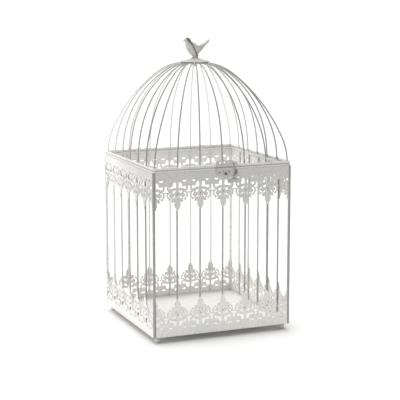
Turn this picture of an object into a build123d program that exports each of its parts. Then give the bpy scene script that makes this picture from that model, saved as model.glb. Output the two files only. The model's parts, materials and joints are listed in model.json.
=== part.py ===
from build123d import *
import os
from math import asin, atan2, cos, degrees, hypot, radians, sin

# A square birdcage box for wedding cards: a wire cage with pressed lace bands, and a hinged
# dome lid with a bird on its crown. Millimetres. +Z is up, the front with its latch faces -Y
# and the hinge is at the back, +Y. The origin is on the table, under the cage's centre.

# --- Driving sizes -------------------------------------------------------------------------
side = 216.0  # width and depth over the corner posts
foot_height = 9.0
cage_height = 239.8  # from the underside of the bottom rim to the centre line of the top rim
dome_apex = 394.1  # height where the dome wires would meet on the axis
post_d = 4.0
rim_d = 3.6
bar_d = 2.4
dome_d = 2.0
sheet = 1.0
bars_per_side = 5
weld = 0.1  # how deep one welded wire sinks into the next
running = 0.08  # radial clearance of a pivot
lid_gap = 0.1  # air between the lid frame and the top rim

# --- Worked out from them ------------------------------------------------------------------
wire_line = side / 2 - post_d / 2  # centre line of the posts, both rims and the lid frame
bottom_rim_z = foot_height + rim_d / 2
top_rim_z = foot_height + cage_height
lid_z = top_rim_z + rim_d + lid_gap
bar_pitch = 2 * wire_line / (bars_per_side + 1)
top_rim_bend = 2.5  # centre-line radius of the corners of the top rim and the lid frame
band_in = wire_line + 0.5
bar_line = band_in - bar_d / 2 + weld
band_reach = wire_line - post_d / 2 + 0.2
upper_band_top = top_rim_z - rim_d / 2 + 0.4
lower_band_bottom = foot_height
bottom_rim_line = band_in - rim_d / 2 + weld  # centre line of the bottom rim, inside the bands
bottom_rim_bend = 4.7  # so that each post nests against a rounded corner of the rim
rim_bite = 0.3
floor_half = bottom_rim_line - rim_d / 2 + rim_bite
floor_corner_r = bottom_rim_bend - rim_d / 2 + rim_bite
floor_low = foot_height + 1.0  # underside of the floor, where the feet end
foot_line = 99.0
foot_flat_r = 2.4
foot_ball_r = 4.4
foot_neck_r = 2.6
wire_bite = 0.4  # how far an upright wire's end runs into a rim

# --- The lace, seen flat: u runs along the side, v from the band's plain edge inwards --------
strip_width = 11.2
finial_tip = 55.6
finial_half = 4.5
margin_width = 0.9  # narrow upright edge of a band, against each corner post
margin_length = 53.0

# --- Dome ----------------------------------------------------------------------------------
dome_line = wire_line - rim_d / 2 - dome_d / 2 + weld  # centre line of the dome wires' feet
dome_z = lid_z - rim_d / 2 + 0.3
dome_width_power = 2.06  # how square the arches' shoulders are, 2 being an ellipse
side_fullness = 2.07  # the same of their height, for a wire at the middle of a side
corner_fullness = 1.59  # and for a corner wire
hub_r = 12.0
hub_z = 393.4
hub_thick = 2.8
hub_bite = 0.6  # how far a dome wire's end runs into the hub
hub_boss_r = 4.5

# --- Crown cap and bird --------------------------------------------------------------------
cap_r = 21.6
cap_rim_z = 394.7
cap_top_z = 400.6
cap_sheet = 0.8
cap_flat_r = 6.0
stud_r = 2.0
stud_play = 0.05
bird_top = 430.6
nut_flats = 7.0
nut_thick = 3.0
tail_thick = 5.0
bird_x = 2.0  # how far right of its stud the bird's body is

# --- Latch ---------------------------------------------------------------------------------
plate_back = -(wire_line + rim_d / 2 - 0.05)
plate_thick = 0.8
plate_front = plate_back - plate_thick
pivot_x = 18.5
pivot_z = 254.5
pivot_r = 1.5
hook_thick = 1.0
hook_gap = 0.3
hook_back = plate_front - hook_gap
slot_line = 20.45  # radius from the pivot of the middle of the hook's slot
hook_arm_x = 0.9  # how far the hook's arm hangs right of its pivot
hook_arm_width = 3.4
stud_x = 3.0
keeper_z = pivot_z - (slot_line**2 - (pivot_x - stud_x) ** 2) ** 0.5
keeper_r = 1.2
rivet_r = 1.0
RIVETS = ((-6.5, 243.6), (8.5, 244.4))
# holes in the upper plate: across, above its lower edge, radius
PIERCINGS = (
    (-5.8, 6.2, 1.5),
    (1.2, 6.6, 1.1),
    (8.2, 6.2, 1.5),
    (-9.2, 3.2, 0.8),
    (-2.4, 3.0, 0.8),
    (4.6, 3.0, 0.8),
    (11.6, 3.2, 0.9),
)

# --- Hinge loops ---------------------------------------------------------------------------
loop_x = 54.0
loop_width = 9.0
loop_sheet = 0.7

SIDES = ("front", "right", "back", "left")


def stroke(start, end, width):
    """A straight round-ended stroke between two points of the lace."""
    length = hypot(end[0] - start[0], end[1] - start[1])
    angle = degrees(atan2(end[1] - start[1], end[0] - start[0]))
    middle = ((start[0] + end[0]) / 2, (start[1] + end[1]) / 2)
    return Pos(*middle) * Rot(0, 0, angle) * SlotCenterToCenter(length, width)


def curl(start, through, end, width):
    """A round-ended stroke along an arc through three points."""
    return SlotArc(ThreePointArc(start, through, end), width)


def spade():
    """The pointed finial at the foot of a lace motif."""
    flank = ThreePointArc((2.6, -39.0), (finial_half, -44.0), (finial_half, -48.2))
    outline = Polyline((0, -39.0), (2.6, -39.0)) + flank
    outline += Polyline((finial_half, -48.2), (0.9, -54.8), (0, -finial_tip), (0, -39.0))
    right = make_face(outline)
    return right + mirror(right, about=Plane.YZ)


def half_plate():
    """The right half of a motif before it is pierced: shoulder, volute, bridge and leaves."""
    edge = bar_pitch / 2
    return [
        Pos(edge / 2, -15.0) * Rectangle(edge, 9.6),
        Pos(5.2, -27.2) * Rectangle(10.4, 17.0),
        Pos(4.0, -37.0) * Rectangle(8.0, 5.4),
        Pos(10.4, -22.2) * Circle(5.7),
        Pos(10.8, -33.0) * Circle(5.4),
        Pos(edge - 3.0, -29.1) * Rectangle(6.0, 1.6),
        stroke((11.4, -37.0), (12.0, -38.9), 2.8),
        stroke((6.2, -39.0), (7.3, -41.2), 3.8),
        stroke((3.4, -40.0), (4.6, -41.2), 2.4),
    ]


def rounded_hole(corners):
    """A hole with round corners, each given as (across, down, radius)."""
    circles = [Pos(across, -down) * Circle(radius) for across, down, radius in corners]
    return make_hull(sum((circle.edges() for circle in circles), ShapeList()))


def half_holes():
    """The holes pierced in the right half of a motif."""
    eye = Pos(9.4, -33.0)
    crescent = CenterArc((0, 0), 3.5, -80, 155)
    return [
        rounded_hole([(13.5, 12.3, 0.9), (8.7, 12.2, 0.9), (9.9, 13.1, 1.1)]),
        rounded_hole([(4.2, 16.7, 2.3), (3.5, 20.5, 1.9), (5.9, 20.6, 1.8)]),
        stroke((5.6, -21.2), (11.2, -22.3), 2.3),
        Pos(11.3, -22.3) * Circle(2.15),
        rounded_hole([(2.6, 26.4, 0.6), (7.0, 27.8, 0.8), (5.4, 29.6, 0.8)]),
        eye * SlotArc(crescent, 2.0),
        curl((4.2, -34.5), (5.5, -36.0), (7.0, -36.8), 1.7),
        stroke((2.1, -34.8), (2.6, -38.1), 1.1),
    ]


def half_motif():
    """The right half of one lace motif, from its centre line to the middle of the gap."""
    half = Sketch() + half_plate() - half_holes()
    return half & Pos(bar_pitch / 4, -30) * Rectangle(bar_pitch / 2, 60)


def motif():
    """One whole motif of the lace, centred on a bar."""
    right = half_motif()
    left = mirror(right, about=Plane.YZ)
    whole = Sketch() + [right, left, spade()]
    return whole - Pos(0, -31.6) * Circle(1.1)


def lace():
    """The whole band, flat: a plain strip with the pierced motifs hanging from it."""
    strip = Pos(0, -strip_width / 2) * Rectangle(2 * band_reach, strip_width)
    count = bars_per_side + 2
    one = motif()
    motifs = [Pos((i - (count - 1) / 2) * bar_pitch, 0) * one for i in range(count)]
    margin_line = band_reach - margin_width / 2
    margin = Pos(0, -margin_length / 2) * Rectangle(margin_width, margin_length)
    margins = [Pos(end * margin_line, 0) * margin for end in (-1, 1)]
    band = Sketch() + [strip] + motifs + margins
    return band & Pos(0, -30) * Rectangle(2 * band_reach, 60)


def turn(shape, quarter):
    """A copy of a front part, carried round to another side of the box."""
    return Rot(0, 0, 90 * quarter) * shape


def upper_band(flat):
    """The upper lace band of the front side, hanging from the top rim."""
    face_plane = Plane(origin=(0, -band_in, upper_band_top), x_dir=(1, 0, 0), z_dir=(0, -1, 0))
    return extrude(face_plane * flat, sheet)


def lower_band(flat):
    """The lower lace band of the front side, standing on the bottom rim."""
    face_plane = Plane(origin=(0, -band_in, lower_band_bottom), x_dir=(-1, 0, 0), z_dir=(0, -1, 0))
    return extrude(face_plane * flat, sheet)


def square_wire(line, height, bend):
    """A square loop of rim wire, lying level: its centre line's distance out and corner bend."""
    path = Plane.XY.offset(height) * RectangleRounded(2 * line, 2 * line, bend)
    loop = path.wire()
    start = Plane(origin=loop @ 0, z_dir=loop % 0)
    return sweep(start * Circle(rim_d / 2), path=loop)


def floor_plate():
    """The flat floor, welded inside the bottom rim."""
    outline = RectangleRounded(2 * floor_half, 2 * floor_half, floor_corner_r)
    return extrude(Pos(0, 0, floor_low) * outline, sheet)


def rod(x, y, low, high, diameter):
    """An upright round rod between two heights."""
    return Pos(x, y, (low + high) / 2) * Cylinder(diameter / 2, high - low)


def dome_point(foot_radius, fullness, angle):
    """A point (radius, height) on the superellipse that a dome wire follows."""
    radius = foot_radius * cos(angle) ** (2 / dome_width_power)
    height = dome_z + (dome_apex - dome_z) * sin(angle) ** (2 / fullness)
    return radius, height


def dome_wire(x, y):
    """One dome wire from its foot at (x, y) up to the crown hub, bent in a radial plane."""
    foot_radius = hypot(x, y)
    corner = (foot_radius / dome_line - 1) / (2**0.5 - 1)
    fullness = side_fullness + (corner_fullness - side_fullness) * corner
    end_angle = asin((1 - ((hub_r - hub_bite) / foot_radius) ** dome_width_power) ** 0.5)
    foot = dome_point(foot_radius, fullness, 0)
    shoulder = dome_point(foot_radius, fullness, radians(20))
    brow = dome_point(foot_radius, fullness, radians(66))
    crown = dome_point(foot_radius, fullness, end_angle)
    lower = TangentArc(foot, shoulder, tangent=(0, 1))
    middle = TangentArc(shoulder, brow, tangent=lower % 1)
    upper = TangentArc(brow, crown, tangent=middle % 1)
    radial_plane = Plane(origin=(0, 0, 0), x_dir=(x, y, 0), z_dir=(y, -x, 0))
    path = Wire([radial_plane * lower.edge(), radial_plane * middle.edge(), radial_plane * upper.edge()])
    section = Plane(origin=path @ 0, z_dir=path % 0) * Circle(dome_d / 2)
    return sweep(section, path=path)


def dome_side():
    """The five dome wires that stand on the front side of the lid frame."""
    spacing = 2 * dome_line / (bars_per_side + 1)
    feet = [(-dome_line + spacing * (i + 1), -dome_line) for i in range(bars_per_side)]
    return Compound(children=[dome_wire(x, y).solid() for x, y in feet])


def foot():
    """A turned ball foot with a flat underside."""
    neck_z = foot_height - 0.8
    outline = Polyline((0, 0), (foot_flat_r, 0))
    outline += ThreePointArc((foot_flat_r, 0), (foot_ball_r, neck_z / 2), (foot_neck_r, neck_z))
    outline += Polyline((foot_neck_r, neck_z), (foot_neck_r, floor_low), (0, floor_low), (0, 0))
    return revolve(Plane.XZ * make_face(outline), Axis.Z)


def hinge_loop(x):
    """A sheet-metal loop that holds the lid frame's back wire down on the top rim's."""
    lid_wire_r = rim_d / 2 + running
    rim_wire_r = rim_d / 2
    rings = []
    for extra in (loop_sheet, 0):
        top = Pos(0, lid_z) * Circle(lid_wire_r + extra)
        bottom = Pos(0, top_rim_z) * Circle(rim_wire_r + extra)
        rings.append(make_hull(top.edges() + bottom.edges()))
    across = Plane(origin=(x - loop_width / 2, wire_line, 0), x_dir=(0, 1, 0), z_dir=(1, 0, 0))
    return extrude(across * (rings[0] - rings[1]), loop_width)


def plate_plane(depth):
    """The upright drawing plane of a latch piece: X across, Y up, normal to the front."""
    return Plane(origin=(0, depth, 0), x_dir=(1, 0, 0), z_dir=(0, -1, 0))


def keeper_plate():
    """The scalloped lower latch plate, fixed to the cage, with two rivet holes and one for the stud."""
    top = top_rim_z + 1.4
    outline = Pos(0.5, top - 3.4) * Rectangle(25, 6.8)
    outline += Pos(-6.3, keeper_z + 2.7) * Circle(5.4)
    outline += Pos(6.0, keeper_z + 2.6) * Circle(5.4)
    outline -= Pos(stud_x, keeper_z) * Circle(keeper_r)
    outline -= [Pos(x, z) * Circle(rivet_r) for x, z in RIVETS]
    outline -= Pos(-0.6, keeper_z + 4.6) * Circle(0.9)
    return extrude(plate_plane(plate_back) * outline, plate_thick)


def keeper_rivets():
    """Two flush rivets through the keeper plate and the front band, headed inside the cage."""
    rivets = []
    for x, z in RIVETS:
        shank = extrude(plate_plane(-band_in) * Pos(x, z) * Circle(rivet_r), -plate_front - band_in)
        head = extrude(plate_plane(-band_in) * Pos(x, z) * Circle(1.8), -0.8)
        rivets.append((shank + head).solid())
    return Compound(children=rivets)


def headed_pin(x, z, steps):
    """A turned pin along Y from the back of the latch plates: (radius, length) of each step."""
    outline = []
    depth = 0
    for radius, length in steps:
        outline.append(Pos(radius / 2, depth + length / 2) * Rectangle(radius, length))
        depth += length
    turned = revolve(Plane.XY * (Sketch() + outline), Axis.Y)
    return Pos(x, plate_back, z) * Rot(180, 0, 0) * turned


def keeper_stud():
    """The headed stud that the hook closes on."""
    shank = plate_thick + hook_gap + hook_thick + 0.2
    return headed_pin(stud_x, keeper_z, [(keeper_r, shank), (2.0, 0.7)])


def hook_pivot():
    """The shouldered rivet that the hook turns on."""
    collar = hook_gap - 0.05
    shank = hook_gap - collar + hook_thick + 0.1
    steps = [(pivot_r, plate_thick), (2.3, collar), (pivot_r, shank), (2.7, 0.8)]
    return headed_pin(pivot_x, pivot_z, steps)


def latch_plate():
    """The pierced upper latch plate on the lid frame, with two lobes and an ear for the hook."""
    low = lid_z - 1.6
    outline = Pos(1.8, low + 4.7) * RectangleRounded(28.4, 9.4, 3.4)
    outline += [Pos(x, low + 5.2) * Circle(4.8) for x in (-5.8, 8.2)]
    outline += Pos(pivot_x, pivot_z) * Circle(3.6)
    outline -= Pos(pivot_x, pivot_z) * Circle(pivot_r)
    outline -= [Pos(x, low + up) * Circle(radius) for x, up, radius in PIERCINGS]
    return extrude(plate_plane(plate_back) * outline, plate_thick)


def around_pivot(radius, angle):
    """A point at a radius from the hook's pivot, at an angle left of straight down."""
    return -radius * sin(radians(angle)), -radius * cos(radians(angle))


def latch_hook():
    """The swinging hook, hanging from its pivot: a slot open to the left and a finger ring."""
    lip = [around_pivot(slot_line + 3.1, angle) for angle in (-2.2, 9, 20)]
    spur = [around_pivot(slot_line - 2.7, angle) for angle in (-1, 4, 10)]
    ring = Pos(*around_pivot(slot_line + 4.2, 21))
    outline = Circle(3.4) + stroke((hook_arm_x, -1), (hook_arm_x, -22.5), hook_arm_width)
    outline += curl(*lip, 3.0)
    outline += curl(*spur, 2.2)
    outline += ring * Circle(2.5)
    outline -= ring * Circle(1.1)
    outline -= Circle(pivot_r + running)
    return extrude(plate_plane(hook_back) * Pos(pivot_x, pivot_z) * outline, hook_thick)


def crown_hub():
    """The disc that the dome wires are welded into, with a boss that carries the cap."""
    disc = Pos(0, 0, hub_z) * Cylinder(hub_r, hub_thick)
    boss_top = cap_top_z - cap_sheet
    boss = Pos(0, 0, (hub_z + boss_top) / 2) * Cylinder(hub_boss_r, boss_top - hub_z)
    return disc + boss - Pos(0, 0, hub_z) * Cylinder(stud_r + stud_play, 40)


def crown_cap():
    """The shallow pressed cap over the crown."""
    mid_r = (cap_r + cap_flat_r) / 2
    mid_z = (cap_rim_z + cap_top_z) / 2 - 0.4
    half = cap_sheet / 2
    under_z = cap_top_z - cap_sheet
    hole_r = stud_r + stud_play
    lower = ThreePointArc((cap_r, cap_rim_z), (mid_r, mid_z - half), (cap_flat_r, under_z))
    upper = ThreePointArc((cap_flat_r, cap_top_z), (mid_r, mid_z + half), (cap_r, cap_rim_z + cap_sheet))
    outline = lower + Polyline((cap_flat_r, under_z), (hole_r, under_z), (hole_r, cap_top_z))
    outline += Line((hole_r, cap_top_z), (cap_flat_r, cap_top_z)) + upper
    outline += Line((cap_r, cap_rim_z + cap_sheet), (cap_r, cap_rim_z))
    return revolve(Plane.XZ * make_face(outline), Axis.Z)


def finial_nut():
    """The hexagon nut under the hub that holds the bird's stud."""
    top = hub_z - hub_thick / 2
    nut = extrude(Pos(0, 0, top) * RegularPolygon(nut_flats / 2, 6, major_radius=False), -nut_thick)
    return nut - Pos(0, 0, top) * Cylinder(stud_r, 20)


def bird_finial():
    """A small perched bird facing -X with its tail cocked, cast with the stud that holds it."""
    body_arc = EllipticalCenterArc((0, 0), 16.0, 7.2, start_angle=0, arc_size=180)
    body = revolve(make_face(body_arc + Line((16.0, 0), (-16.0, 0))), Axis.X)
    body = Pos(-5.4, 0, cap_top_z + 13.6) * Rot(0, 52, 0) * body
    head = Pos(-14.6, 0, bird_top - 5.2) * Sphere(5.2)
    beak = Pos(-19.4, 0, bird_top - 5.6) * Rot(0, -94, 0) * Cone(2.6, 0.5, 6.0)
    rump = (-2, 410)
    tail_outline = Polyline(rump, (17.0, 427.2), (20.4, 425.6), (12.4, 415.0), (4.0, 405.5), rump)
    tail = extrude(Plane.XZ * make_face(tail_outline), tail_thick / 2, both=True)
    stem_low = hub_z - hub_thick / 2 - nut_thick - 1
    stud = rod(0, 0, stem_low, cap_top_z + 1, 2 * stud_r)
    pad = rod(0, 0, cap_top_z, cap_top_z + 1.6, 8.6)
    perch = rod(0, 0, cap_top_z, cap_top_z + 7, 5.6)
    return Pos(bird_x, 0, 0) * (body + head + beak + tail) + stud + pad + perch


def pieces():
    """Every piece of the card box, by the name of its node."""
    flat = lace()
    made = {}
    post_high = top_rim_z - rim_d / 2 + wire_bite / 2
    bar_low = bottom_rim_z + rim_d / 2 - wire_bite
    bar_high = upper_band_top - 3
    made["floor_plate"] = floor_plate()
    made["bottom_rim"] = square_wire(bottom_rim_line, bottom_rim_z, bottom_rim_bend)
    made["top_rim"] = square_wire(wire_line, top_rim_z, top_rim_bend)
    corners = {"front_left": (-1, -1), "front_right": (1, -1), "back_right": (1, 1), "back_left": (-1, 1)}
    dome_corner = dome_wire(dome_line, dome_line)
    for number, (corner, (x, y)) in enumerate(corners.items()):
        made["post_" + corner] = rod(x * wire_line, y * wire_line, foot_height, post_high, post_d)
        made["foot_" + corner] = Pos(x * foot_line, y * foot_line, 0) * foot()
        made["dome_wire_" + corner] = turn(dome_corner, number - 2)
    for quarter, name in enumerate(SIDES):
        for i in range(bars_per_side):
            x = (i - (bars_per_side - 1) / 2) * bar_pitch
            bar = rod(x, -bar_line, bar_low, bar_high, bar_d)
            made[f"bar_{name}_{i + 1}"] = turn(bar, quarter)
        made["lower_band_" + name] = turn(lower_band(flat), quarter)
        made["dome_wires_" + name] = turn(dome_side(), quarter)
        band = upper_band(flat)
        if name == "front":
            holes = Sketch() + [Pos(x, z) * Circle(rivet_r) for x, z in RIVETS]
            band -= extrude(plate_plane(-band_in + 1) * holes, sheet + 2)
        if name == "back":
            notch_low = top_rim_z - rim_d / 2 - loop_sheet - 0.2
            notch = Pos(0, -band_in, notch_low + 2) * Box(loop_width + 0.6, 4, 4)
            band -= [Pos(x, 0, 0) * notch for x in (-loop_x, loop_x)]
        made["upper_band_" + name] = turn(band, quarter)
    made["hinge_loop_left"] = hinge_loop(-loop_x)
    made["hinge_loop_right"] = hinge_loop(loop_x)
    made["keeper_plate"] = keeper_plate()
    made["keeper_rivets"] = keeper_rivets()
    made["keeper_stud"] = keeper_stud()
    made["lid_frame"] = square_wire(wire_line, lid_z, top_rim_bend)
    made["crown_hub"] = crown_hub()
    made["crown_cap"] = crown_cap()
    made["finial_nut"] = finial_nut()
    made["bird_finial"] = bird_finial()
    made["latch_plate"] = latch_plate()
    made["hook_pivot"] = hook_pivot()
    made["latch_hook"] = latch_hook()
    return made


os.makedirs("parts", exist_ok=True)
for node, shape in pieces().items():
    export_step(shape, f"parts/{node}.step")
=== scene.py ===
"""The looks of the wedding card box: antique-white paint, pressed lace, welds, latch, crown and bird.

Everything is in metres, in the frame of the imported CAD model: +Z up, the front with its latch
faces -Y, and the hinge is at +Y. Small shapes are drawn in millimetres and scaled by MM.
"""

import json
import math
import random

import bmesh
import bpy
import numpy as np
from mathutils import Matrix, Vector


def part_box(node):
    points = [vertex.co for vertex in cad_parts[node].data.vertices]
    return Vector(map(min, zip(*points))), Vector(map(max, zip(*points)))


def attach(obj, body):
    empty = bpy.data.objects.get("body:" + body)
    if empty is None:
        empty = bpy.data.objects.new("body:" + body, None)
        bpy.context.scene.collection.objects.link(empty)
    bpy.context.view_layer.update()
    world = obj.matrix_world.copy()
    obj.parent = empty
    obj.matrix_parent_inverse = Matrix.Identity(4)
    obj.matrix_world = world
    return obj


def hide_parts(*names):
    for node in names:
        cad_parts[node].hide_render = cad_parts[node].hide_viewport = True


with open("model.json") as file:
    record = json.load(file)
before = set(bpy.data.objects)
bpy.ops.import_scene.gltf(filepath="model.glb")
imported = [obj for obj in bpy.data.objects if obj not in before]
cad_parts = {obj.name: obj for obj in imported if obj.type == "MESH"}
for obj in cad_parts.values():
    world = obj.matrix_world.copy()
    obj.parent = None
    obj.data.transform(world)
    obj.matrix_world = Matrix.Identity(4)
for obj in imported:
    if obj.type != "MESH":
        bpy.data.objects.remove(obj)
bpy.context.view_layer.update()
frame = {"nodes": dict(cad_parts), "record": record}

MM = 0.001
SIDES = ("front", "right", "back", "left")
CORNERS = ("front_left", "front_right", "back_right", "back_left")
RIMS = ("top_rim", "bottom_rim", "lid_frame")
ROUNDED_NODES = ("hinge_loop_left", "hinge_loop_right", "finial_nut", "crown_hub", "floor_plate")
UP = Vector((0, 0, 1))
FRONT = Vector((0, -1, 0))
BARS_PER_SIDE = 5
random_weld = random.Random(11)

# --- Edges: the radius that each kind of piece is rounded to --------------------------------
LACE_EDGE = 0.07 * MM
PLATE_EDGE = 0.18 * MM
HOOK_EDGE = 0.28 * MM
CAST_EDGE = 0.15 * MM

# --- Bird -----------------------------------------------------------------------------------
BIRD_LEAN = 2.6  # millimetres that its body stands to the right of its stud
BIRD_VOXEL = 0.3 * MM
STUD_R = 2.0

# --- Dirt, what lies under the paint, and colours of painted shade --------------------------
DIRT = (0.36, 0.33, 0.28, 1)
PRIMER_AND_EDGE_SHADE = (0.26, 0.252, 0.23, 1)
HOOK_SHADE = (0.1, 0.098, 0.09, 1)
WING_SHADE = (0.06, 0.057, 0.05, 1)

# --- Camera: seen from the left of the front, and a little above ---------------------------
VIEW_AZIMUTH = -22.457
VIEW_ELEVATION = 9.877
VIEW_DISTANCE = 1.8937
VIEW_TARGET = (0.00812, 0.0, 0.18532)
VIEW_LENS = 112.28


# ============================================================================================
# Studio
# ============================================================================================
def direction(azimuth, elevation):
    """The unit vector towards a place in the studio: azimuth 0 is in front, at -Y."""
    a, e = math.radians(azimuth), math.radians(elevation)
    return Vector((math.sin(a) * math.cos(e), -math.cos(a) * math.cos(e), math.sin(e)))


def make_camera():
    """A long lens at the viewing angle, with no shift and no depth of field."""
    camera = bpy.data.objects.new("camera", bpy.data.cameras.new("camera"))
    bpy.context.scene.collection.objects.link(camera)
    back = direction(VIEW_AZIMUTH, VIEW_ELEVATION)
    camera.location = Vector(VIEW_TARGET) + back * VIEW_DISTANCE
    camera.rotation_mode = "QUATERNION"
    camera.rotation_quaternion = (-back).to_track_quat("-Z", "Y")
    camera.data.sensor_width = 36.0
    camera.data.lens = VIEW_LENS
    bpy.context.scene.camera = camera


def add_node(tree, kind, inputs=(), **settings):
    """A new shader node. inputs gives its sockets numbers, or other nodes' outputs to link."""
    made = tree.nodes.new("ShaderNode" + kind)
    for name, value in settings.items():
        setattr(made, name, value)
    for socket, value in dict(inputs).items():
        if isinstance(value, bpy.types.NodeSocket):
            tree.links.new(value, made.inputs[socket])
        else:
            made.inputs[socket].default_value = value
    return made


def set_ramp(ramp, stops):
    """Gives a colour ramp its stops: (position, grey) pairs."""
    elements = ramp.color_ramp.elements
    while len(elements) < len(stops):
        elements.new(1.0)
    for element, (position, grey) in zip(elements, stops):
        element.position = position
        element.color = (grey, grey, grey, 1.0)


def make_world():
    """A light tent: bright on the left and above, dim towards the front and the right."""
    world = bpy.data.worlds.new("light_tent")
    bpy.context.scene.world = world
    world.use_nodes = True
    tree = world.node_tree
    way = add_node(tree, "TexCoord").outputs["Generated"]
    bright_way = direction(VIEW_AZIMUTH - 105, 35)
    facing = add_node(tree, "VectorMath", {0: way, 1: bright_way}, operation="DOT_PRODUCT")
    share = add_node(tree, "MapRange", {"Value": facing.outputs["Value"], "From Min": -1.0})
    ramp = add_node(tree, "ValToRGB", {"Fac": share.outputs["Result"]})
    away, level, near, towards = (0.0, 0.36), (0.5, 0.37), (0.8, 0.76), (1.0, 1.3)
    set_ramp(ramp, [away, level, near, towards])
    tree.links.new(ramp.outputs["Color"], tree.nodes["Background"].inputs["Color"])


def make_sun(name, azimuth, elevation, strength, spread):
    """A wide soft lamp far away, so that the floor is evenly lit."""
    lamp = bpy.data.lights.new(name, "SUN")
    lamp.energy = strength
    lamp.angle = math.radians(spread)
    sun = bpy.data.objects.new(name, lamp)
    bpy.context.scene.collection.objects.link(sun)
    sun.rotation_mode = "QUATERNION"
    sun.rotation_quaternion = direction(azimuth, elevation).to_track_quat("Z", "Y")


def make_floor():
    """A plain white floor, out to beyond the horizon of a low view."""
    radius = 60.0
    mesh = bpy.data.meshes.new("studio_floor")
    corners = [(x * radius, y * radius, 0) for x, y in ((-1, -1), (1, -1), (1, 1), (-1, 1))]
    mesh.from_pydata(corners, [], [(0, 1, 2, 3)])
    floor = bpy.data.objects.new("studio_floor", mesh)
    bpy.context.scene.collection.objects.link(floor)
    material = bpy.data.materials.new("studio_floor")
    material.use_nodes = True
    shader = material.node_tree.nodes["Principled BSDF"]
    shader.inputs["Base Color"].default_value = (0.9, 0.9, 0.9, 1)
    shader.inputs["Roughness"].default_value = 0.7
    shader.inputs["Specular IOR Level"].default_value = 0.2
    shader.inputs["Emission Color"].default_value = (1, 1, 1, 1)
    shader.inputs["Emission Strength"].default_value = 0.02
    mesh.materials.append(material)


def make_studio():
    """Camera, light tent and floor, with one soft lamp above and a little behind the box."""
    make_camera()
    make_world()
    make_floor()
    make_sun("top", VIEW_AZIMUTH + 190, 76, 1.8, 64)
    bpy.context.scene.view_settings.view_transform = "Standard"


# ============================================================================================
# Paint
# ============================================================================================
def mix_colour(tree, share, first, second):
    """A mix of two colours, each a socket or a tuple."""
    return add_node(tree, "Mix", {0: share, 6: first, 7: second}, data_type="RGBA").outputs[2]


def map_range(tree, value, low, high, new_low, new_high):
    """A value carried from one range to another, and kept inside it."""
    sockets = {"Value": value, "From Min": low, "From Max": high}
    sockets.update({"To Min": new_low, "To Max": new_high})
    return add_node(tree, "MapRange", sockets).outputs["Result"]


def noise(tree, place, scale, detail, stretch=(1, 1, 1)):
    """Noise over the frame's own coordinates, with features of about 1/scale metres."""
    if stretch != (1, 1, 1):
        place = add_node(tree, "VectorMath", {0: place, 1: stretch}, operation="MULTIPLY").outputs[0]
    return add_node(tree, "TexNoise", {"Vector": place, "Scale": scale, "Detail": detail}).outputs["Fac"]


def wing_edge_shade(tree, place):
    """Painted shade: a dark line along the edge of the bird's folded wing, where shade falls, widest at
    its head.
    """
    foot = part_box("crown_cap")[1].z
    start = Vector((-11.8 * MM, 0, foot + 27.5 * MM))
    end = Vector((3.2 * MM, 0, foot + 0.5 * MM))
    along = (end - start).normalized()
    across = Vector((-along.z, 0, along.x))
    offset = add_node(tree, "VectorMath", {0: place, 1: start}, operation="SUBTRACT").outputs[0]
    far = add_node(tree, "VectorMath", {0: offset, 1: across}, operation="DOT_PRODUCT").outputs["Value"]
    down = add_node(tree, "VectorMath", {0: offset, 1: along}, operation="DOT_PRODUCT").outputs["Value"]
    ragged = noise(tree, place, 420.0, 4.0)
    far = add_node(tree, "Math", {0: far}, operation="ABSOLUTE").outputs[0]
    far = add_node(tree, "Math", {0: ragged, 1: 2.2 * MM, 2: far}, operation="MULTIPLY_ADD").outputs[0]
    far = add_node(tree, "Math", {0: far, 1: 1.1 * MM}, operation="SUBTRACT").outputs[0]
    width = map_range(tree, down, 0, 12 * MM, 2.3 * MM, 0.95 * MM)
    share = add_node(tree, "Math", {0: far, 1: width}, operation="DIVIDE").outputs[0]
    return map_range(tree, share, 1.5, 0.3, 0, 0.95)


def hook_arm_shade(tree, place):
    """Painted shade: a dark patch on the hook's arm, for the shade in the gap between the hook and its
    stud.
    """
    low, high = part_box("hook_pivot")
    shade_centre = Vector(((low.x + high.x) / 2 - 1.6 * MM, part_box("latch_hook")[0].y, low.z - 8.5 * MM))
    far = add_node(tree, "VectorMath", {0: place, 1: shade_centre}, operation="DISTANCE").outputs["Value"]
    ragged = noise(tree, place, 500.0, 3.0)
    far = add_node(tree, "Math", {0: ragged, 1: 3 * MM, 2: far}, operation="MULTIPLY_ADD").outputs[0]
    return map_range(tree, far, 4.6 * MM, 6.4 * MM, 0.9, 0)


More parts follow.
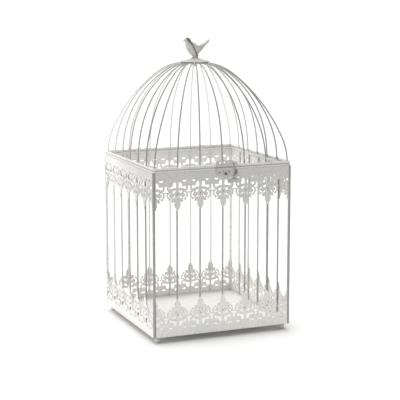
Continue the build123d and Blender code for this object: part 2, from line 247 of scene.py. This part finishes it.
def painted(
    name, colour, roughness=0.36, peel=0.35, edge_wear_and_shade=0.3, front_shade=0.9, low_share=1.0, corner_shade=0.5
):
    """Satin paint over metal: uneven tint, sags, orange peel, painted shade in corners and towards the
    front, thin at edges.

    peel is the depth of the relief. The next three set how bare the edges are, with painted shade on the
    lace's edges as well; how dark the painted shade towards the front is; and how much of that shade
    there is near the floor. The last sets how dark the painted shade in the corners is.
    """
    material = bpy.data.materials.new(name)
    material.use_nodes = True
    tree = material.node_tree
    shader = tree.nodes["Principled BSDF"]
    place = add_node(tree, "TexCoord").outputs["Object"]

    # colour: broad cloudy patches, a finer mottle, and sparse specks of dirt
    cool = tuple(c * k for c, k in zip(colour, (0.94, 0.95, 0.97))) + (1,)
    warm = tuple(min(1, c * k) for c, k in zip(colour, (1.03, 1.015, 0.985))) + (1,)
    clouds = noise(tree, place, 22.0, 4.0)
    tint = mix_colour(tree, map_range(tree, clouds, 0.35, 0.65, 0, 1), cool, warm)
    mottle = noise(tree, place, 260.0, 3.0)
    mottle_dark = tuple(c * 0.82 for c in colour) + (1,)
    tint = mix_colour(tree, map_range(tree, mottle, 0.5, 0.7, 0, 0.8), tint, mottle_dark)
    specks = noise(tree, place, 900.0, 1.0)
    tint = mix_colour(tree, map_range(tree, specks, 0.72, 0.77, 0, 0.5), tint, DIRT)

    # painted shade: the paint is darker towards the front, and most near the lid's opening, high up
    axes = add_node(tree, "SeparateXYZ", {0: place})
    front = map_range(tree, axes.outputs["Y"], -0.05, 0.08, 1, 0)
    high = map_range(tree, axes.outputs["Z"], 0.04, 0.24, low_share, 1)
    front_shade_mask = add_node(tree, "Math", {0: front, 1: high}, operation="MULTIPLY").outputs[0]
    tone = map_range(tree, front_shade_mask, 0, 1, 1, front_shade)
    tint = add_node(tree, "VectorMath", {0: tint, "Scale": tone}, operation="SCALE").outputs[0]

    # painted shade: the corners between pieces are darkened by ambient occlusion
    corner = add_node(tree, "AmbientOcclusion", {"Distance": 4 * MM}, samples=6).outputs["AO"]
    corner_shade_colour = (colour[0] * corner_shade, colour[1] * corner_shade * 0.97, colour[2] * corner_shade * 0.92, 1)
    uneven = map_range(tree, mottle, 0.3, 0.7, 0.35, 0.85)
    shut = map_range(tree, corner, 0.25, 0.8, 1, 0)
    corner_shade_mask = add_node(tree, "Math", {0: shut, 1: uneven}, operation="MULTIPLY").outputs[0]
    tint = mix_colour(tree, corner_shade_mask, tint, corner_shade_colour)
    # painted shade: a dark patch on the hook's arm
    if name == "painted_hook":
        tint = mix_colour(tree, hook_arm_shade(tree, place), tint, HOOK_SHADE)
    # painted shade: a dark line along the bird's wing edge
    if name == "painted_bird":
        tint = mix_colour(tree, wing_edge_shade(tree, place), tint, WING_SHADE)

    # the paint is thin on outer edges, where a darker primer starts to show; on the lace, the wide dark
    # band is painted shade on the cut edges
    edge_band = 0.85 if name == "painted_lace" else 0.45
    rounded = add_node(tree, "Bevel", {"Radius": edge_band * MM}, samples=4).outputs["Normal"]
    flat = add_node(tree, "NewGeometry").outputs["Normal"]
    facing = add_node(tree, "VectorMath", {0: rounded, 1: flat}, operation="DOT_PRODUCT")
    edge = map_range(tree, facing.outputs["Value"], 0.985, 0.86, 0, 1)
    patchy = map_range(tree, noise(tree, place, 150.0, 4.0), 0.3, 0.6, edge_wear_and_shade * 0.4, edge_wear_and_shade)
    worn_and_shaded_edge = add_node(tree, "Math", {0: edge, 1: patchy}, operation="MULTIPLY").outputs[0]
    tree.links.new(mix_colour(tree, worn_and_shaded_edge, tint, PRIMER_AND_EDGE_SHADE), shader.inputs["Base Color"])

    # gloss: satin, duller in the painted corner shade and on the worn edges
    satin = map_range(tree, mottle, 0.3, 0.7, roughness - 0.07, roughness + 0.09)
    dull = add_node(tree, "Math", {0: corner_shade_mask, 1: worn_and_shaded_edge}, operation="ADD").outputs[0]
    gloss = add_node(tree, "Math", {0: dull, 1: 0.3, 2: satin}, operation="MULTIPLY_ADD")
    tree.links.new(gloss.outputs[0], shader.inputs["Roughness"])
    shader.inputs["Coat Weight"].default_value = 0.12
    shader.inputs["Coat Roughness"].default_value = 0.25

    # relief: orange peel of about a millimetre, longer sags down the work, and fine dust nibs
    orange = noise(tree, place, 1100.0, 2.0)
    sag = noise(tree, place, 120.0, 2.0, (1, 1, 0.22))
    nibs = map_range(tree, specks, 0.7, 0.8, 0, 1)
    height = add_node(tree, "Math", {0: sag, 1: 1.6, 2: orange}, operation="MULTIPLY_ADD").outputs[0]
    height = add_node(tree, "Math", {0: nibs, 1: 0.8, 2: height}, operation="MULTIPLY_ADD").outputs[0]
    bump = add_node(tree, "Bump", {"Height": height, "Strength": peel, "Distance": 0.2 * MM})
    tree.links.new(bump.outputs["Normal"], shader.inputs["Normal"])
    return material


def make_paints():
    """One paint for each material slot of the record, and one each for the rims and the hook."""
    latch = {"roughness": 0.34, "peel": 0.3, "edge_wear_and_shade": 0.6, "front_shade": 1.0, "corner_shade": 0.15}
    kinds = {
        "painted_wire": ((0.84, 0.832, 0.8), {"front_shade": 0.38, "low_share": 0.85}),
        "painted_rim": ((0.88, 0.872, 0.84), {"front_shade": 0.8}),
        "painted_lace": (
            (0.92, 0.912, 0.875),
            {"roughness": 0.42, "peel": 0.3, "edge_wear_and_shade": 0.9, "front_shade": 0.68, "low_share": 0.0},
        ),
        "painted_floor": ((0.86, 0.852, 0.815), {"roughness": 0.46, "front_shade": 1.0}),
        "painted_feet": ((0.8, 0.79, 0.755), {"peel": 0.3, "edge_wear_and_shade": 0.4}),
        # painted shade: the crown, bird, latch and hook get darker copies of the same white paint, for
        # the shade on them
        "painted_crown": ((0.68, 0.672, 0.635), {"roughness": 0.38, "front_shade": 1.0}),
        "painted_bird": (
            (0.59, 0.582, 0.547),
            {"roughness": 0.44, "peel": 0.5, "front_shade": 1.0, "corner_shade": 0.2},
        ),
        "painted_latch": ((0.55, 0.54, 0.51), latch),
        "painted_hook": ((0.55, 0.54, 0.51), latch),
        "steel_pins": (
            (0.1, 0.097, 0.09),
            {"roughness": 0.42, "peel": 0.3, "edge_wear_and_shade": 0.2, "front_shade": 1.0, "corner_shade": 0.4},
        ),
    }
    return {name: painted(name, colour, **finish) for name, (colour, finish) in kinds.items()}


# ============================================================================================
# Mesh helpers
# ============================================================================================
def add_piece(name, mesh, body, slot, *stands_for):
    """Shows a mesh as a piece of the object, riding on a CAD body."""
    work = bmesh.new()
    work.from_mesh(mesh)
    bmesh.ops.remove_doubles(work, verts=work.verts, dist=0.0005 * MM)
    bmesh.ops.dissolve_degenerate(work, edges=work.edges, dist=0.0005 * MM)
    bmesh.ops.recalc_face_normals(work, faces=work.faces)
    work.to_mesh(mesh)
    work.free()
    piece = bpy.data.objects.new(name, mesh)
    bpy.context.scene.collection.objects.link(piece)
    mesh.materials.clear()
    mesh.materials.append(paints[slot])
    mesh.shade_smooth()
    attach(piece, body)
    if stands_for:
        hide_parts(*stands_for)
    return piece


def mesh_of(name, shapes):
    """One mesh from several (points, faces) shapes drawn in millimetres."""
    points, faces = [], []
    for shape_points, shape_faces in shapes:
        start = len(points)
        points.extend(Vector(p) * MM for p in shape_points)
        faces.extend([start + i for i in face] for face in shape_faces)
    mesh = bpy.data.meshes.new(name)
    mesh.from_pydata(points, [], faces)
    mesh.validate()
    return mesh


def skin(rings):
    """Quads between rings of points, with the two end rings filled."""
    count = len(rings[0])
    points = [p for ring in rings for p in ring]
    faces = []
    for k in range(len(rings) - 1):
        for i in range(count):
            j = (i + 1) % count
            faces.append((k * count + i, k * count + j, (k + 1) * count + j, (k + 1) * count + i))
    faces.append(tuple(reversed(range(count))))
    faces.append(tuple(range(len(points) - count, len(points))))
    return points, faces


def carry(shape, origin, way=UP):
    """A shape drawn about +Z, carried to an origin and turned so that +Z points along way."""
    turn = Vector(way).to_track_quat("Z", "Y")
    points, faces = shape
    return [Vector(origin) + turn @ Vector(p) for p in points], faces


def lathe(outline, sides):
    """A closed outline of (radius, height) points turned about +Z."""
    points, faces = [], []
    count = len(outline)
    for i in range(sides):
        a = math.tau * i / sides
        points.extend((r * math.cos(a), r * math.sin(a), z) for r, z in outline)
    for i in range(sides):
        here, there = i * count, (i + 1) % sides * count
        for k in range(count):
            m = (k + 1) % count
            faces.append((here + k, there + k, there + m, here + m))
    return points, faces


def soften(corners, steps=4):
    """A closed outline from (across, up, radius) corners, each rounded off by its radius."""
    outline = []
    for i, (x, y, radius) in enumerate(corners):
        corner = Vector((x, y))
        if radius == 0:
            outline.append(tuple(corner))
            continue
        before = corner + (Vector(corners[i - 1][:2]) - corner).normalized() * radius
        after = corner + (Vector(corners[(i + 1) % len(corners)][:2]) - corner).normalized() * radius
        for k in range(steps + 1):
            t = k / steps
            outline.append(tuple(before.lerp(corner, t).lerp(corner.lerp(after, t), t)))
    return outline


def loft(stations, sides=20):
    """A tube through (x, y, z, radius in the XZ plane, radius along Y) stations."""
    rings = []
    centres = [Vector(s[:3]) for s in stations]
    for k, (x, y, z, in_plane, across) in enumerate(stations):
        ahead = centres[min(k + 1, len(centres) - 1)] - centres[max(k - 1, 0)]
        normal = Vector((-ahead.z, 0, ahead.x)).normalized()
        turns = [math.tau * i / sides for i in range(sides)]
        offsets = [normal * in_plane * math.cos(a) + Vector((0, across * math.sin(a), 0)) for a in turns]
        rings.append([centres[k] + offset for offset in offsets])
    return skin(rings)


# ============================================================================================
# Pieces cut from sheet: lace bands, latch plates and the hook
# ============================================================================================
def simplify(loop, tolerance):
    """A closed loop of 2-D points without those that lie within a tolerance of their chord."""
    points = np.array(loop)
    far = int(np.argmax(((points - points[0]) ** 2).sum(1)))
    keep = {0, far}
    spans = [(0, far), (far, len(points))]
    while spans:
        low, high = spans.pop()
        if high - low < 2:
            continue
        start, end = points[low], points[high % len(points)]
        chord = end - start
        between = points[low + 1 : high] - start
        length = max(float(np.hypot(*chord)), 1e-9)
        away = np.abs(between[:, 0] * chord[1] - between[:, 1] * chord[0]) / length
        worst = int(np.argmax(away))
        if away[worst] > tolerance:
            middle = low + 1 + worst
            keep.add(middle)
            spans += [(low, middle), (middle, high)]
    return points[sorted(keep)]


def outward_loops(node, out, right):
    """The outlines of a sheet node's outward flat face, as loops of (right, up) points."""
    mesh = frame["nodes"][node].data
    mesh.calc_loop_triangles()
    keys = [tuple(round(c / MM, 3) for c in v.co) for v in mesh.vertices]
    depth = max(v.co.dot(out) for v in mesh.vertices)
    following = {}
    for triangle in mesh.loop_triangles:
        if all(depth - mesh.vertices[i].co.dot(out) < 0.005 * MM for i in triangle.vertices):
            a, b, c = (keys[i] for i in triangle.vertices)
            for start, end in ((a, b), (b, c), (c, a)):
                if start in following.get(end, ()):
                    following[end].remove(start)
                else:
                    following.setdefault(start, []).append(end)
    loops = []
    for first in sorted(following):
        while following[first]:
            loop, here = [], first
            while following[here]:
                loop.append(here)
                here = following[here].pop()
            loops.append([(Vector(p).dot(right) * MM, Vector(p).z * MM) for p in loop])
    return loops


def cut_from_sheet(name, node, body, slot, out, edge_radius):
    """A copy of a flat CAD piece with softly rounded edges, drawn from its own outlines."""
    out = Vector(out)
    right = UP.cross(out)
    low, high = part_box(node)
    thickness = abs((high - low).dot(out))
    curve = bpy.data.curves.new(name, "CURVE")
    curve.dimensions = "2D"
    curve.fill_mode = "BOTH"
    curve.bevel_depth = edge_radius
    curve.bevel_resolution = 1
    curve.extrude = thickness / 2 - edge_radius
    curve.offset = -edge_radius
    for loop in outward_loops(node, out, right):
        points = simplify(loop, 0.012 * MM)
        if len(points) < 3:
            continue
        spline = curve.splines.new("POLY")
        spline.points.add(len(points) - 1)
        spline.points.foreach_set("co", [c for x, y in points for c in (x, y, 0, 1)])
        spline.use_cyclic_u = True
    drawn = bpy.data.objects.new(name + "_curve", curve)
    bpy.context.scene.collection.objects.link(drawn)
    depsgraph = bpy.context.evaluated_depsgraph_get()
    mesh = bpy.data.meshes.new_from_object(drawn.evaluated_get(depsgraph))
    bpy.data.objects.remove(drawn)
    middle = out * ((low + high) / 2).dot(out)
    columns = Matrix((right, UP, out)).transposed().to_4x4()
    mesh.transform(Matrix.Translation(middle) @ columns)
    piece = add_piece(name, mesh, body, slot, node)
    weighted = piece.modifiers.new("even_faces", "WEIGHTED_NORMAL")
    weighted.keep_sharp = True
    return piece


def make_sheet_pieces():
    """The eight lace bands, the two latch plates and the hook."""
    for quarter, side in enumerate(SIDES):
        out = Matrix.Rotation(math.radians(90 * quarter), 3, "Z") @ FRONT
        out = Vector([round(c) for c in out])
        for level in ("upper", "lower"):
            node = f"{level}_band_{side}"
            cut_from_sheet(f"lace_{level}_{side}", node, "cage", "painted_lace", out, LACE_EDGE)
    for name, node, body in (
        ("latch_top_plate", "latch_plate", "lid"),
        ("latch_low_plate", "keeper_plate", "cage"),
    ):
        cut_from_sheet(name, node, body, "painted_latch", FRONT, PLATE_EDGE)
    node = "latch_hook"
    hook = cut_from_sheet("latch_swing_hook", node, node, "painted_latch", FRONT, HOOK_EDGE)
    hook.data.materials[0] = paints["painted_hook"]


# ============================================================================================
# Rivets and pins
# ============================================================================================
def pin(name, node, body, slot, steps, head_round):
    """A turned pin along -Y with a domed head, from its (radius, length) steps in millimetres."""
    low, high = (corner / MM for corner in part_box(node))
    outline = [(0, 0, 0)]
    depth = 0
    for k, (radius, length) in enumerate(steps):
        last = k == len(steps) - 1
        outline.append((radius, depth, 0.06))
        depth += length
        outline.append((radius, depth, head_round if last else 0.06))
    outline.append((0, depth, 0))
    turned = lathe(soften(outline, 6), 36)
    origin = ((low.x + high.x) / 2, high.y, (low.z + high.z) / 2)
    add_piece(name, mesh_of(name, [carry(turned, origin, FRONT)]), body, slot, node)


def make_pins():
    """The hook's shouldered rivet, the stud it catches, and the low plate's two rivets."""
    shouldered = [(1.5, 0.8), (2.3, 0.25), (1.5, 1.15), (2.7, 0.8)]
    headed = [(1.2, 2.3), (2.0, 0.7)]
    pin("latch_hook_rivet", "hook_pivot", "lid", "painted_latch", shouldered, 0.72)
    pin("latch_stud", "keeper_stud", "cage", "steel_pins", headed, 0.62)
    low, high = (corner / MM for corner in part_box("keeper_rivets"))
    head_r, head_thick, shank_r = 1.8, 0.8, 1.0
    shank = high.y - low.y
    outline = [(0, 0, 0), (head_r, 0, 0.6), (head_r, head_thick, 0.1), (shank_r, head_thick, 0.1)]
    outline += [(shank_r, shank + 0.12, 0.35), (0, shank + 0.18, 0)]
    shapes = []
    for x, z in ((low.x + head_r, low.z + head_r), (high.x - head_r, high.z - head_r)):
        shapes.append(carry(lathe(soften(outline, 6), 28), (x, high.y, z), FRONT))
    add_piece("latch_rivets", mesh_of("latch_rivets", shapes), "cage", "steel_pins", "keeper_rivets")


# ============================================================================================
# Crown cap
# ============================================================================================
def make_crown_cap():
    """The pressed cap: a shallow mound with a step round its boss and a rolled rim."""
    low, high = (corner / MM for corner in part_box("crown_cap"))
    rim_r, rim_z, top_z = high.x, low.z, high.z
    sheet, hole_r, flat_r, roll, steps = 0.8, STUD_R + 0.05, 6.0, 0.62, 12
    start_r, end_r = rim_r - roll, flat_r + 1.0
    start_z, end_z = rim_z + roll * 2 - 0.1, top_z - 1.2
    upper, lower = [], []
    for k in range(steps + 1):
        t = k / steps
        radius = start_r - t * (start_r - end_r)
        height = start_z + (end_z - start_z) * t**1.1
        upper.append((radius, height))
        lower.append((radius, height - sheet))
    boss = [(flat_r + 0.6, top_z - 0.95), (flat_r + 0.35, top_z - 0.25), (flat_r - 0.1, top_z)]
    hole = [(hole_r, top_z), (hole_r, top_z - sheet), (flat_r, top_z - sheet)]
    turns = [math.radians(a) for a in range(-150, 91, 24)]
    centre_z = rim_z + roll
    rolled = [(start_r + roll * math.cos(a), centre_z + roll * math.sin(a)) for a in turns]
    outline = rolled + upper + boss + hole + lower[::-1][:-1]
    pressed = mesh_of("crown_cap_pressed", [lathe(outline, 96)])
    add_piece("crown_cap_pressed", pressed, "lid", "painted_crown", "crown_cap")


# ============================================================================================
# Bird
# ============================================================================================
def bird_shapes(foot_z):
    """The bird's parts in millimetres: tubes that a remesh joins into one.

    Each tube is given by stations: x from the body's middle, y, height above the crown, and its
    radii in the bird's upright plane and across it.
    """

    def part(stations, side=0.0, sides=20):
        moved = [(x + BIRD_LEAN, y + side, foot_z + z, n, w) for x, y, z, n, w in stations]
        return loft(moved, sides)

    body = [(-15.6, 0, 24.4, 2.0, 2.2), (-14.6, 0, 22.8, 4.3, 4.3), (-12.4, 0, 20.4, 6.1, 5.6)]
    body += [(-9.2, 0, 15.8, 7.6, 6.8), (-5.6, 0, 10.8, 7.7, 7.0), (-2.6, 0, 6.4, 6.2, 5.8)]
    body += [(-0.6, 0, 3.2, 4.2, 4.2), (0.2, 0, 1.4, 2.4, 2.6)]
    head = [(-19.6, 0, 25.4, 0.8, 0.8), (-18.6, 0, 25.4, 3.0, 2.9), (-16.6, 0, 25.6, 4.3, 4.1)]
    head += [(-14.0, 0, 25.4, 4.4, 4.2), (-11.6, 0, 24.2, 3.6, 3.8), (-10.0, 0, 22.6, 2.0, 2.4)]
    beak = [(-18.6, 0, 25.2, 1.7, 1.6), (-20.2, 0, 25.1, 1.15, 1.05), (-21.6, 0, 24.9, 0.65, 0.6)]
    beak += [(-22.6, 0, 24.7, 0.25, 0.3)]
    tail = [(-2.0, 0, 9.4, 5.4, 4.6), (4.4, 0, 13.4, 4.6, 3.8), (10.4, 0, 17.8, 3.3, 3.0)]
    tail += [(15.6, 0, 21.9, 2.5, 2.8), (19.0, 0, 24.6, 2.0, 2.6), (20.0, 0, 25.4, 1.0, 2.0)]
    shapes = [part(body), part(head), part(beak, sides=12), part(tail)]
    eye = [(-17.4, 0, 26.4, 0.3, 0.3), (-16.9, 0, 26.6, 0.75, 0.6), (-16.3, 0, 26.8, 0.3, 0.3)]
    for hand in (-1, 1):
        shapes.append(part(eye, hand * 3.85, 10))
        for k in range(3):  # tail feathers, stepped from the rump to the tip
            reach = 20.6 - 2.3 * k
            rise = 26.9 - 1.9 * k
            feather = [(-k, 0, 12.6 + k, 1.0, 1.2), (8.0 - k, 0, 18.4 - 0.5 * k, 1.3, 1.5)]
            feather += [(reach - 3, 0, rise - 2.2, 1.0, 1.3), (reach, 0, rise, 0.4, 0.6)]
            shapes.append(part(feather, hand * (0.7 + 0.9 * k), 12))
        for k in range(5):  # long wing feathers, folded down along the flank to the rump
            start = (-12.4 + 1.3 * k, hand * (5.2 + 0.2 * k), 21.0 - 0.2 * k, 1.3, 1.1)
            middle = (-5.6 + 1.8 * k, hand * (7.1 - 0.35 * k), 12.4 + 0.9 * k, 1.5, 1.25)
            tip = (1.4 + 1.9 * k, hand * (4.4 - 0.3 * k), 4.4 + 2.1 * k, 0.5, 0.6)
            shapes.append(part([start, middle, tip], 0, 12))
        for k in range(4):  # short covering feathers at the shoulder
            start = (-13.6 + 1.3 * k, hand * 4.4, 23.0 + 0.1 * k, 1.2, 1.1)
            middle = (-10.4 + 1.7 * k, hand * (6.6 - 0.25 * k), 18.4 + 0.6 * k, 1.7, 1.4)
            tip = (-7.2 + 1.9 * k, hand * (7.5 - 0.4 * k), 14.2 + 0.9 * k, 0.6, 0.8)
            shapes.append(part([start, middle, tip], 0, 12))
    perch = soften([(0, 0, 0), (4.3, 0, 0.3), (4.3, 1.2, 0.6), (2.9, 2.6, 0.8), (2.5, 7, 0), (0, 7, 0)])
    shapes.append(carry(lathe(perch, 32), (0, 0, foot_z)))
    return shapes


def make_bird():
    """The cast bird: its parts remeshed into one skin, eased, and set on its stud."""
    foot_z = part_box("crown_cap")[1].z / MM
    rough = bpy.data.objects.new("bird_rough", mesh_of("bird_rough", bird_shapes(foot_z)))
    bpy.context.scene.collection.objects.link(rough)
    remesh = rough.modifiers.new("skin", "REMESH")
    remesh.mode = "VOXEL"
    remesh.voxel_size = BIRD_VOXEL
    ease = rough.modifiers.new("ease", "SMOOTH")
    ease.factor = 0.5
    ease.iterations = 9
    depsgraph = bpy.context.evaluated_depsgraph_get()
    mesh = bpy.data.meshes.new_from_object(rough.evaluated_get(depsgraph))
    bpy.data.objects.remove(rough)
    add_piece("bird_cast", mesh, "lid", "painted_bird", "bird_finial")
    low_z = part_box("bird_finial")[0].z / MM
    length = foot_z - low_z + 0.6
    stud = [(0, 0), (STUD_R - 0.4, 0), (STUD_R, 0.4), (STUD_R, length), (0, length)]
    thread = carry(lathe(stud, 32), (0, 0, low_z))
    add_piece("bird_stud", mesh_of("bird_stud", [thread]), "lid", "steel_pins")


# ============================================================================================
# Welds
# ============================================================================================
def flare(origin, way, inner, outer, height, sides=16):
    """A weld fillet: a lumpy collar that spreads from a wire onto what the wire stands on."""
    phases = [random_weld.uniform(0, math.tau) for _ in range(2)]
    rings = []
    for k in range(6):
        t = k / 5
        ring = []
        for i in range(sides):
            turn = math.tau * i / sides
            lump = 1 + 0.22 * math.sin(2 * turn + phases[0]) + 0.12 * math.sin(5 * turn + phases[1])
            radius = inner - 0.05 + (outer - inner) * (1 - t) ** 2.2 * lump
            rise = height * t * (0.9 + 0.1 * lump)
            ring.append((radius * math.cos(turn), radius * math.sin(turn), rise))
        rings.append(ring)
    return carry(skin(rings), origin, way)


def drop(origin, size):
    """A small lumpy drop of weld, of the given half sizes."""
    phase = random_weld.uniform(0, math.tau)
    rings = []
    for k in range(1, 7):
        polar = math.pi * k / 7
        ring = []
        for i in range(9):
            turn = math.tau * i / 9
            lump = 1 + 0.1 * math.sin(2 * turn + phase) * math.sin(3 * polar)
            wide = lump * math.sin(polar)
            x, y = size[0] * wide * math.cos(turn), size[1] * wide * math.sin(turn)
            ring.append((x, y, size[2] * math.cos(polar)))
        rings.append(ring)
    return carry(skin(rings), origin)


def turned(shape, quarter):
    """A front shape carried round to another side of the box."""
    turn = Matrix.Rotation(math.radians(90 * quarter), 3, "Z")
    points, faces = shape
    return [turn @ Vector(p) for p in points], faces


def make_cage_welds():
    """Fillets under the bars and feet, spots of weld beside the bars, and drops at the posts."""
    rim_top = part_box("bottom_rim")[1].z / MM
    shapes = []
    for quarter in range(len(SIDES)):
        for i in range(BARS_PER_SIDE):
            low, high = (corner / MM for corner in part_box(f"bar_front_{i + 1}"))
            x, y = (low.x + high.x) / 2, (low.y + high.y) / 2
            collar = flare((x, y + 0.1, rim_top - 0.5), UP, 1.2, 1.75, 1.7)
            shapes.append(turned(collar, quarter))
            for hand in (-1, 1):
                for z in (high.z - 4, high.z - 44, rim_top + 4, rim_top + 44):
                    tall = random_weld.uniform(1.4, 2.4)
                    spot = drop((x + hand * 1.15, low.y + 0.35, z), (0.75, 0.4, tall))
                    shapes.append(turned(spot, quarter))
    for corner in CORNERS:
        low, high = (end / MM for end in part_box("post_" + corner))
        x, y = (low.x + high.x) / 2, (low.y + high.y) / 2
        inward = Vector((-x, -y, 0)).normalized()
        for z, tall in ((rim_top - 1.8, 2.0), (high.z - 1.0, 1.3)):
            shapes.append(drop(Vector((x, y, z)) + inward * 1.9, (1.0, 1.0, tall)))
        low, high = (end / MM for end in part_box("foot_" + corner))
        top = ((low.x + high.x) / 2, (low.y + high.y) / 2, high.z + 0.02)
        shapes.append(flare(top, -UP, 2.6, 3.5, 1.2, 24))
    add_piece("cage_welds", mesh_of("cage_welds", shapes), "cage", "painted_wire")


def make_lid_welds():
    """Fillets where the dome wires meet the lid's frame and the crown's hub."""
    hub_low, hub_high = (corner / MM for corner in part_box("crown_hub"))
    frame_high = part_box("lid_frame")[1].z / MM
    wire_r = 1.0
    foot_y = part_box("dome_wires_front")[0].y / MM + wire_r
    pitch = -foot_y * 2 / (BARS_PER_SIDE + 1)
    shapes = []
    for quarter in range(len(SIDES)):
        for i in range(BARS_PER_SIDE + 1):
            x = foot_y + pitch * (i + 1)
            collar = flare((x, foot_y + 0.1, frame_high - 0.7), UP, wire_r, 1.55, 1.5)
            shapes.append(turned(collar, quarter))
            out = Vector((x, foot_y, 0)).normalized()
            end = out * (hub_high.x - 0.15) + UP * (hub_low.z + 1.35)
            shapes.append(turned(flare(end, out, wire_r, 1.45, 1.1), quarter))
    add_piece("lid_welds", mesh_of("lid_welds", shapes), "lid", "painted_wire")


def round_edges(node, width):
    """Softens a CAD node's sharp edges with modifiers, leaving its mesh as it is."""
    piece = frame["nodes"][node]
    join = piece.modifiers.new("join", "WELD")
    join.merge_threshold = 0.001 * MM
    bevel = piece.modifiers.new("edges", "BEVEL")
    bevel.width = width
    bevel.segments = 2
    bevel.angle_limit = math.radians(40)
    bevel.harden_normals = True


# ============================================================================================
# Build
# ============================================================================================
make_studio()
paints = make_paints()
make_sheet_pieces()
make_pins()
make_crown_cap()
make_bird()
make_cage_welds()
make_lid_welds()
for node in ROUNDED_NODES:
    round_edges(node, CAST_EDGE)

for subpart in frame["record"]["subparts"]:
    cad_mesh = frame["nodes"][subpart["node"]].data
    paint = "painted_rim" if subpart["node"] in RIMS else subpart["material_slot"]
    cad_mesh.materials.clear()
    cad_mesh.materials.append(paints[paint])
